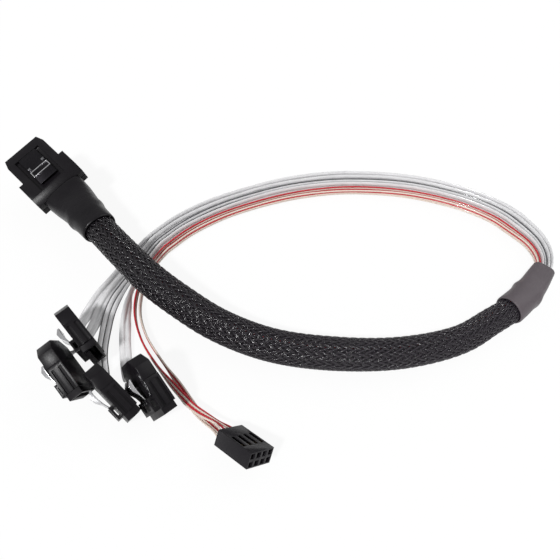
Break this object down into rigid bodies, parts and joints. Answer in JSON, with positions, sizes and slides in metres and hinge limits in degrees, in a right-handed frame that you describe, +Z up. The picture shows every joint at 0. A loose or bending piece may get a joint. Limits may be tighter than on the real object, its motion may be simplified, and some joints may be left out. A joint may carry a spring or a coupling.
{
  "type": "drive breakout cable",
  "caption": "Braided internal drive cable: one wide latching plug at one end, fanning out to slim latching data connectors and a small two-row sideband connector.",
  "frame": {"origin": "middle of the rigid pieces (plug, shrink sleeves and connectors) in X and Y, on the surface that the cable lies on", "axes": "+Z up from that surface, +X from the plug's side to the breakout's side of the loop, +Y toward the back of the loop"},
  "size_m": [0.2147, 0.1338, 0.0216],
  "materials": {
    "black_plastic": "satin moulded black with fine lengthwise ribs",
    "heat_shrink": "soft satin heat shrink, black at the plug and grey-mauve at the breakout",
    "braid": "black braided monofilament sleeve with small bright glints",
    "signal_ribbon": "silver-grey foil cores under a clear jacket",
    "sideband_wires": "red and pale translucent insulated wires",
    "latch_steel": "bright spring steel",
    "contacts": "pale gold plated contacts",
    "wafer_plastic": "black insert that carries the contacts",
    "circuit_board": "green circuit board"
  },
  "bodies": {
    "cable": {"plug_upper_shell": "black_plastic", "plug_lower_shell": "black_plastic", "plug_paddle_card": "circuit_board", "plug_wire_clamp": "black_plastic", "drive_1_housing": "black_plastic", "drive_1_backshell": "black_plastic", "drive_1_contact_wafer": "wafer_plastic", "drive_2_housing": "black_plastic", "drive_2_backshell": "black_plastic", "drive_2_contact_wafer": "wafer_plastic", "drive_3_housing": "black_plastic", "drive_3_backshell": "black_plastic", "drive_3_contact_wafer": "wafer_plastic", "drive_4_housing": "black_plastic", "drive_4_backshell": "black_plastic", "drive_4_contact_wafer": "wafer_plastic", "sideband_housing": "black_plastic", "sideband_terminal_1": "contacts", "sideband_terminal_2": "contacts", "sideband_terminal_3": "contacts", "sideband_terminal_4": "contacts", "sideband_terminal_5": "contacts", "sideband_terminal_6": "contacts", "sideband_terminal_7": "contacts", "sideband_terminal_8": "contacts", "plug_heat_shrink": "heat_shrink", "breakout_heat_shrink": "heat_shrink", "braided_sleeve": "braid", "leg_1": "signal_ribbon", "leg_2": "signal_ribbon", "leg_3": "signal_ribbon", "leg_4": "signal_ribbon", "sideband_ribbon_1": "sideband_wires", "sideband_ribbon_2": "sideband_wires"},
    "plug_latch_leaf": {"plug_latch": "latch_steel"},
    "drive_1_latch_leaf": {"drive_1_latch": "latch_steel"},
    "drive_2_latch_leaf": {"drive_2_latch": "latch_steel"},
    "drive_3_latch_leaf": {"drive_3_latch": "latch_steel"},
    "drive_4_latch_leaf": {"drive_4_latch": "latch_steel"}
  },
  "joints": [
    {"name": "plug_latch_flex", "type": "hinge", "parent": "cable", "child": "plug_latch_leaf", "pos_m": [-0.09738, 0.05629, 0.01895], "axis": [0.691, 0.6759, 0.2563], "range_deg": [0, 2.5], "stiffness_Nm_per_rad": 0.05},
    {"name": "drive_1_latch_flex", "type": "hinge", "parent": "cable", "child": "drive_1_latch_leaf", "pos_m": [-0.06275, -0.02618, 0.01008], "axis": [0.0313, 0.1215, -0.9921], "range_deg": [0, 8], "stiffness_Nm_per_rad": 0.05},
    {"name": "drive_2_latch_flex", "type": "hinge", "parent": "cable", "child": "drive_2_latch_leaf", "pos_m": [-0.06477, -0.03898, 0.00846], "axis": [0.016, 0.4857, -0.874], "range_deg": [0, 8], "stiffness_Nm_per_rad": 0.05},
    {"name": "drive_3_latch_flex", "type": "hinge", "parent": "cable", "child": "drive_3_latch_leaf", "pos_m": [-0.04774, -0.04737, 0.00923], "axis": [-0.2832, 0.2946, -0.9127], "range_deg": [0, 8], "stiffness_Nm_per_rad": 0.05},
    {"name": "drive_4_latch_flex", "type": "hinge", "parent": "cable", "child": "drive_4_latch_leaf", "pos_m": [-0.03719, -0.0457, 0.01068], "axis": [-0.4794, 0.154, -0.864], "range_deg": [0, 8], "stiffness_Nm_per_rad": 0.05}
  ]
}
